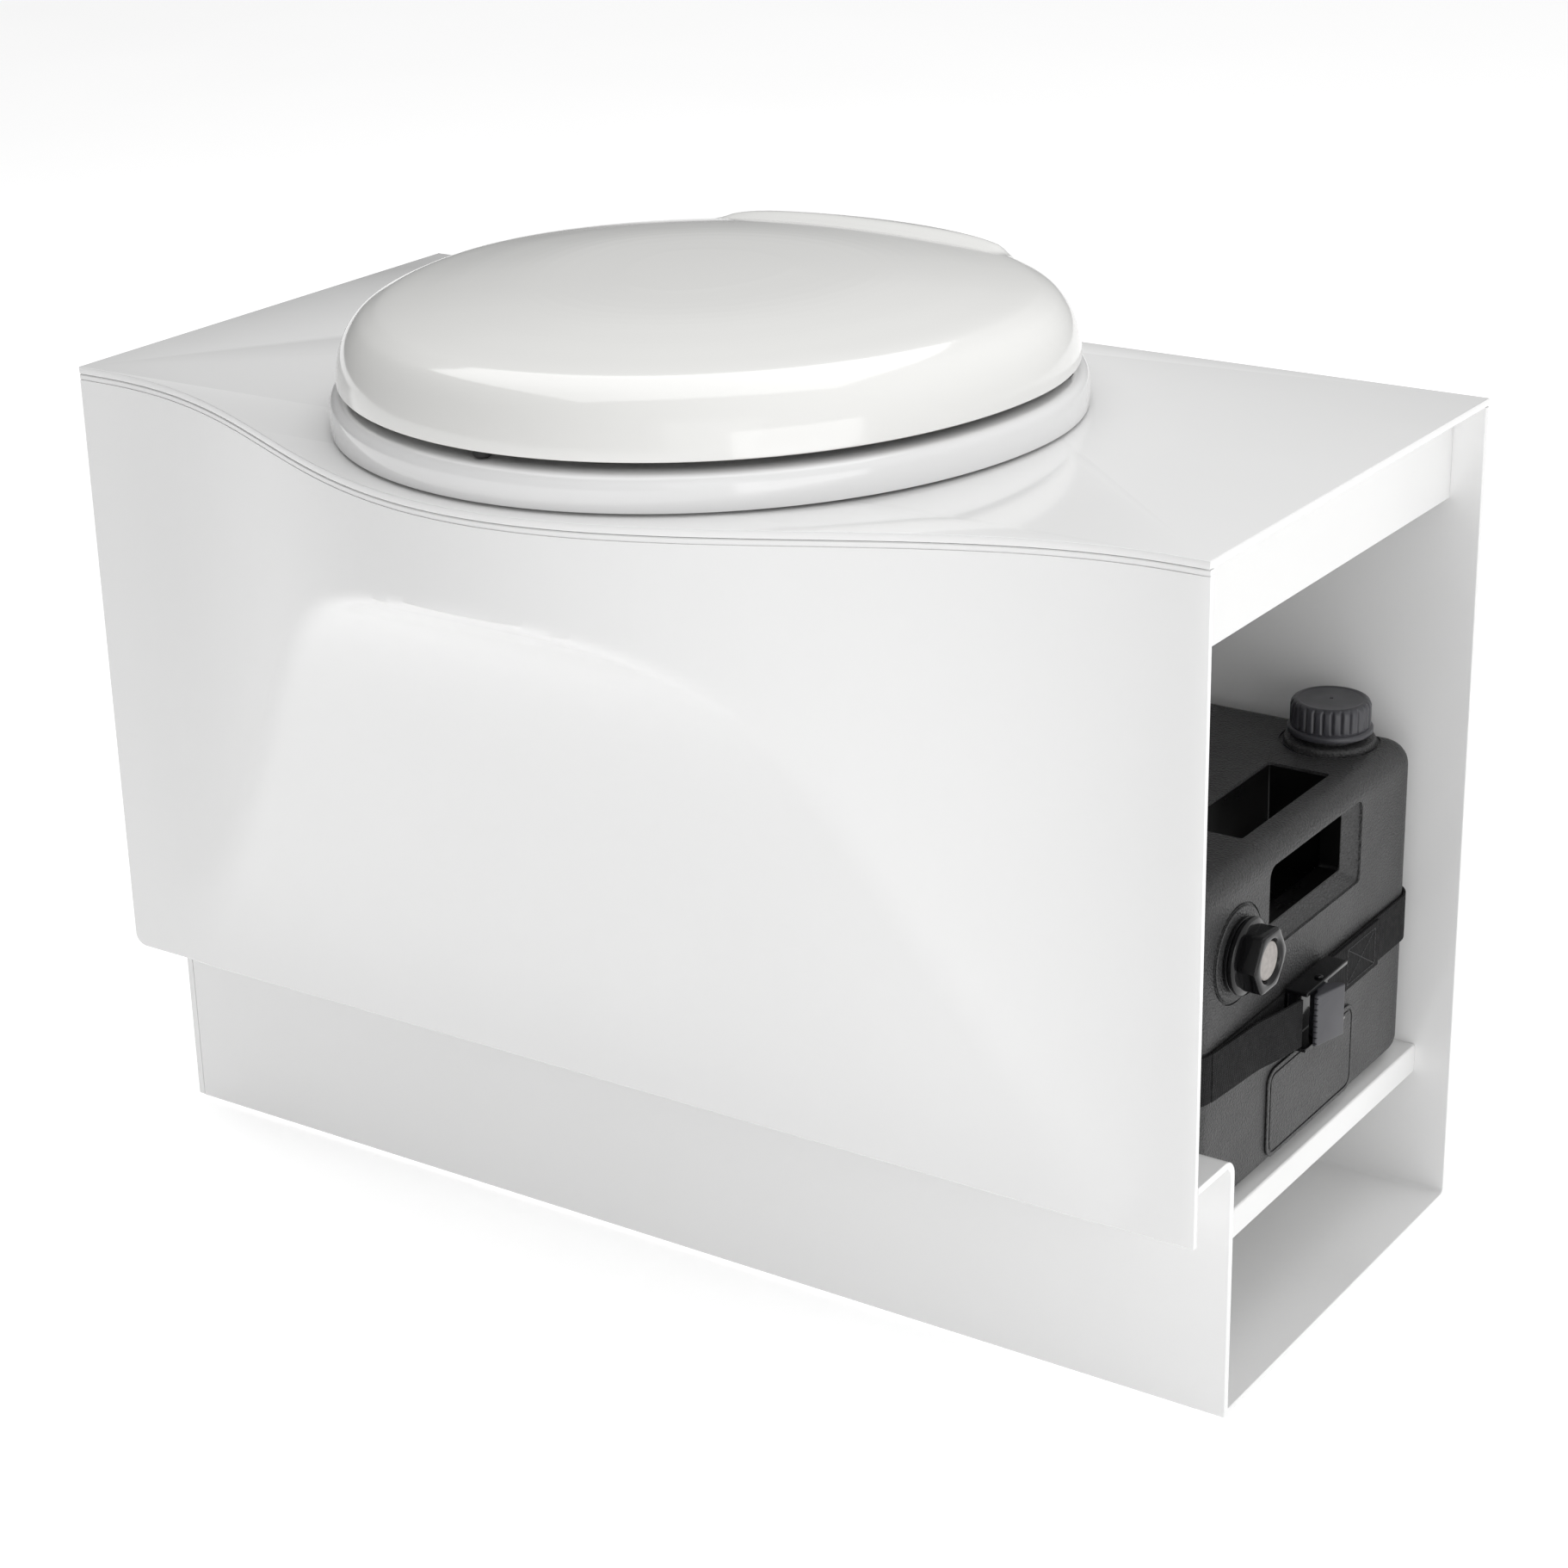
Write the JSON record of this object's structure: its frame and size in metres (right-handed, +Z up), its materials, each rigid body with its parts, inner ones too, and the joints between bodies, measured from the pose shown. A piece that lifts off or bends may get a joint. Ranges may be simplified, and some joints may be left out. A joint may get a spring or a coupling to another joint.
{
  "type": "cassette toilet",
  "caption": "Bench cassette toilet with a bulged white panel body, hinged seat and lid, and a black waste tank that slides out of the end on a raised floor.",
  "frame": {"origin": "on the floor, in the middle of the body's length and of its end depth", "axes": "+X along the length towards the service opening, -Y to the bulged front, +Z up"},
  "size_m": [0.6736, 0.4056, 0.519],
  "materials": {
    "white_panel": "satin gloss white sheet",
    "white_seat": "gloss white moulding",
    "cream_lid": "gloss warm white moulding",
    "bowl_white": "gloss white moulding",
    "grained_black": "fine pebble grain",
    "badge_black": "fine grain, plain",
    "gloss_black": "gloss black",
    "cap_grey": "satin dark grey",
    "rubber_black": "matte rubber",
    "webbing": "woven webbing",
    "filter_grey": "fine mesh",
    "steel": "plain steel"
  },
  "bodies": {
    "toilet": {"top_plate": "white_panel", "front_panel": "white_panel", "base_shell": "white_panel", "left_side_panel": "white_panel", "tank_floor": "white_panel", "header_rail": "white_panel", "bowl": "bowl_white", "bowl_rim_seal": "rubber_black", "bowl_outlet_seal": "rubber_black", "hinge_block": "white_seat", "hinge_pin": "steel", "hinge_stud_left": "steel", "hinge_stud_right": "steel", "wing_nut_left": "grained_black", "wing_nut_right": "grained_black", "shaft_bush": "grained_black"},
    "seat": {"seat_ring": "white_seat", "seat_bumper_front_left": "rubber_black", "seat_bumper_front_right": "rubber_black", "seat_bumper_rear_left": "rubber_black", "seat_bumper_rear_right": "rubber_black"},
    "lid": {"lid_shell": "cream_lid", "lid_bumper_front": "rubber_black", "lid_bumper_left": "rubber_black", "lid_bumper_right": "rubber_black"},
    "valve_handle": {"valve_knob": "cap_grey", "valve_shaft": "steel", "shaft_clip": "steel"},
    "cassette": {"tank_shell": "grained_black", "inlet_seal": "rubber_black", "valve_housing": "grained_black", "badge_panel": "badge_black", "strap_band": "webbing", "strap_tail": "webbing", "buckle_frame": "gloss_black", "buckle_pin": "steel"},
    "blade": {"valve_blade": "gloss_black"},
    "cap_seal": {"cap_gasket": "rubber_black"},
    "cap": {"pour_cap": "cap_grey"},
    "vent_seal": {"vent_o_ring": "rubber_black"},
    "vent": {"vent_plug": "gloss_black", "vent_mesh": "filter_grey"},
    "lever": {"buckle_lever": "cap_grey"}
  },
  "joints": [
    {"name": "seat_hinge", "type": "hinge", "parent": "toilet", "child": "seat", "pos_m": [0, 0.1205, 0.487], "axis": [-1, 0, 0], "range_deg": [0, 90]},
    {"name": "lid_hinge", "type": "hinge", "parent": "seat", "child": "lid", "pos_m": [0, 0.1205, 0.487], "axis": [-1, 0, 0], "range_deg": [0, 95]},
    {"name": "valve_turn", "type": "hinge", "parent": "toilet", "child": "valve_handle", "pos_m": [-0.16, 0.1, 0.45], "axis": [0, 0, 1], "range_deg": [0, 26]},
    {"name": "cassette_slide", "type": "slide", "parent": "toilet", "child": "cassette", "axis": [1, 0, 0], "range_m": [0, 0.54]},
    {"name": "blade_turn", "type": "hinge", "parent": "cassette", "child": "blade", "pos_m": [-0.16, 0.1, 0.2548], "axis": [0, 0, 1], "range_deg": [0, 26]},
    {"name": "cap_lift", "type": "slide", "parent": "cassette", "child": "cap_seal", "axis": [0, 0, 1], "range_m": [0, 0.05]},
    {"name": "cap_turn", "type": "hinge", "parent": "cap_seal", "child": "cap", "pos_m": [0.275, 0.113, 0.274], "axis": [0, 0, 1], "range_deg": [0, 540]},
    {"name": "vent_pull", "type": "slide", "parent": "cassette", "child": "vent_seal", "axis": [1, 0, 0], "range_m": [0, 0.04]},
    {"name": "vent_turn", "type": "hinge", "parent": "vent_seal", "child": "vent", "pos_m": [0.313, -0.065, 0.225], "axis": [1, 0, 0], "range_deg": [0, 360]},
    {"name": "buckle_lever_turn", "type": "hinge", "parent": "cassette", "child": "lever", "pos_m": [0.324, 0.004, 0.155], "axis": [0, 0, -1], "range_deg": [0, 40]}
  ],
  "couplings": [
    {"joint": "blade_turn", "follows": "valve_turn", "ratio": 1}
  ]
}
